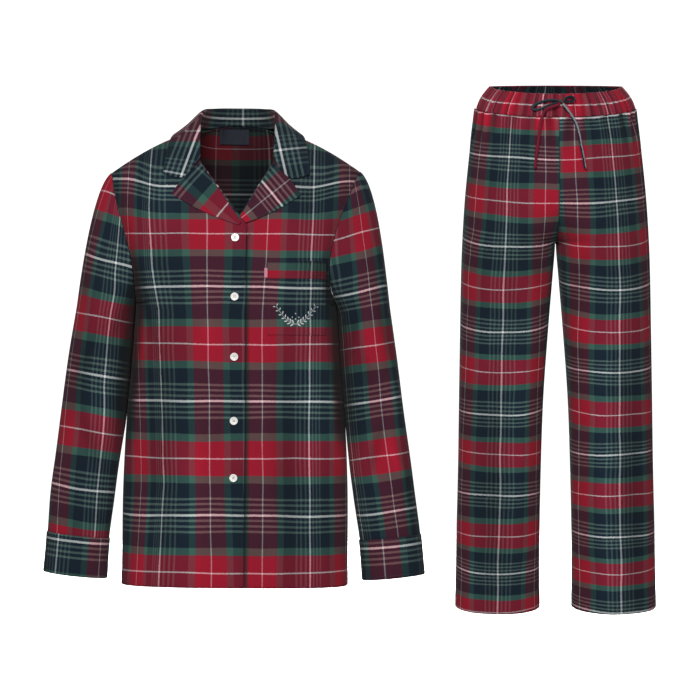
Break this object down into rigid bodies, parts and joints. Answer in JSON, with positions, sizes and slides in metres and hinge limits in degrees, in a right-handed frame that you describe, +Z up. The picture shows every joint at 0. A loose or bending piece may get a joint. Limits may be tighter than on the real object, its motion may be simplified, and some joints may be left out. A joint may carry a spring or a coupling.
{
  "type": "pyjama set, filled out with no wearer",
  "caption": "Check flannel pyjama set, filled out with no wearer: long-sleeved shirt with notched collar and chest pocket, beside straight trousers with elastic waist and drawstring",
  "frame": {"origin": "the middle of the shirt's neck opening, where a wearer's neck and shoulders hold it up", "axes": "+Z up, fronts facing -Y, +X towards the trousers, which is the wearer's left"},
  "size_m": [1.0704, 0.2228, 0.9259],
  "materials": {
    "check_cloth": "brushed cotton twill in a red, navy and green check with white lines",
    "waist_cloth": "the same brushed check cloth, gathered over elastic",
    "drawstring_cloth": "narrow tie of the same check cloth",
    "label_satin": "plain woven satin",
    "tab_ribbon": "plain woven ribbon",
    "button": "polished off-white resin"
  },
  "bodies": {
    "root": {"shirt_front_right": "check_cloth", "shirt_front_left": "check_cloth", "shirt_back": "check_cloth", "collar": "check_cloth", "lapel_right": "check_cloth", "lapel_left": "check_cloth", "sleeve_right": "check_cloth", "sleeve_left": "check_cloth", "cuff_right": "check_cloth", "cuff_left": "check_cloth", "pocket": "check_cloth", "pocket_band": "check_cloth", "pocket_tab": "tab_ribbon", "neck_label": "label_satin", "button_1": "button", "button_2": "button", "button_3": "button", "button_4": "button", "button_5": "button", "waistband": "waist_cloth", "leg_front_right": "check_cloth", "leg_front_left": "check_cloth", "leg_back_right": "check_cloth", "leg_back_left": "check_cloth", "drawstring_knot": "drawstring_cloth", "drawstring_loop_left": "drawstring_cloth", "drawstring_loop_right": "drawstring_cloth", "drawstring_end_left": "drawstring_cloth", "drawstring_end_right": "drawstring_cloth"}
  },
  "joints": []
}
